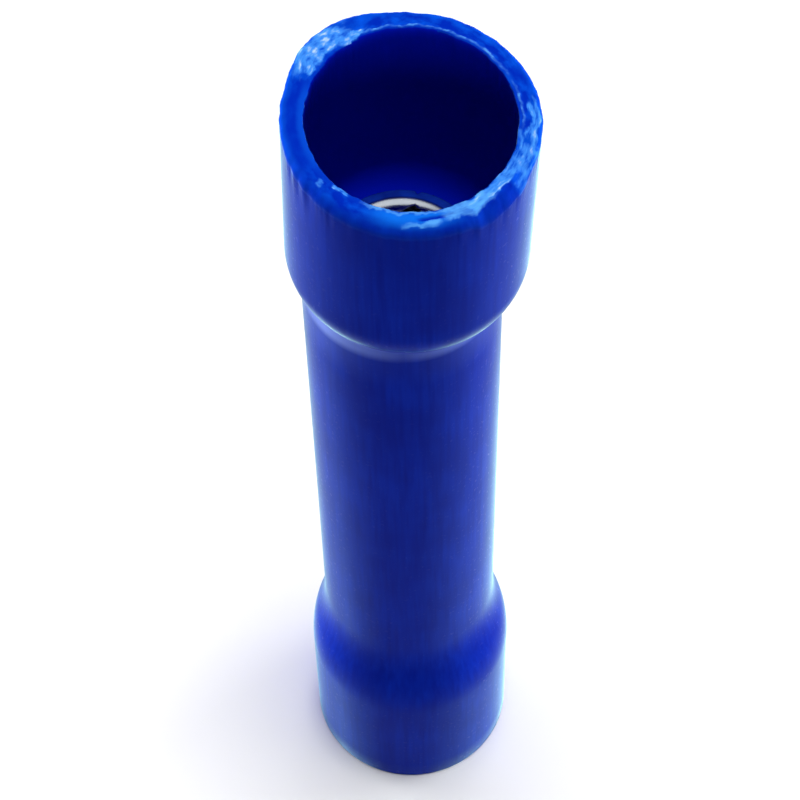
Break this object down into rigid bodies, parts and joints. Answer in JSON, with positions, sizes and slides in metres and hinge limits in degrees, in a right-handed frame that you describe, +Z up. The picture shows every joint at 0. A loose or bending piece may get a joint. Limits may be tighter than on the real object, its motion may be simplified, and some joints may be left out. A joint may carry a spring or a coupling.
{
  "type": "butt splice connector",
  "caption": "Insulated butt splice: a tinned copper crimp barrel held in a blue PVC sleeve with a flared mouth at each end, for joining wires end to end.",
  "frame": {"origin": "middle of the lower rim, on the surface that the connector stands on", "axes": "+Z up along the tube's axis, -Y towards the low side of the upper rim's uneven cut, +X towards the side that the upper mouth leans to"},
  "size_m": [0.0055, 0.0054, 0.0263],
  "materials": {
    "blue_pvc": "satin gloss extruded PVC, whitened where it was cut",
    "tinned_copper": "bright tin plate over rolled copper"
  },
  "bodies": {
    "root": {"insulation_sleeve": "blue_pvc", "crimp_barrel": "tinned_copper"}
  },
  "joints": []
}
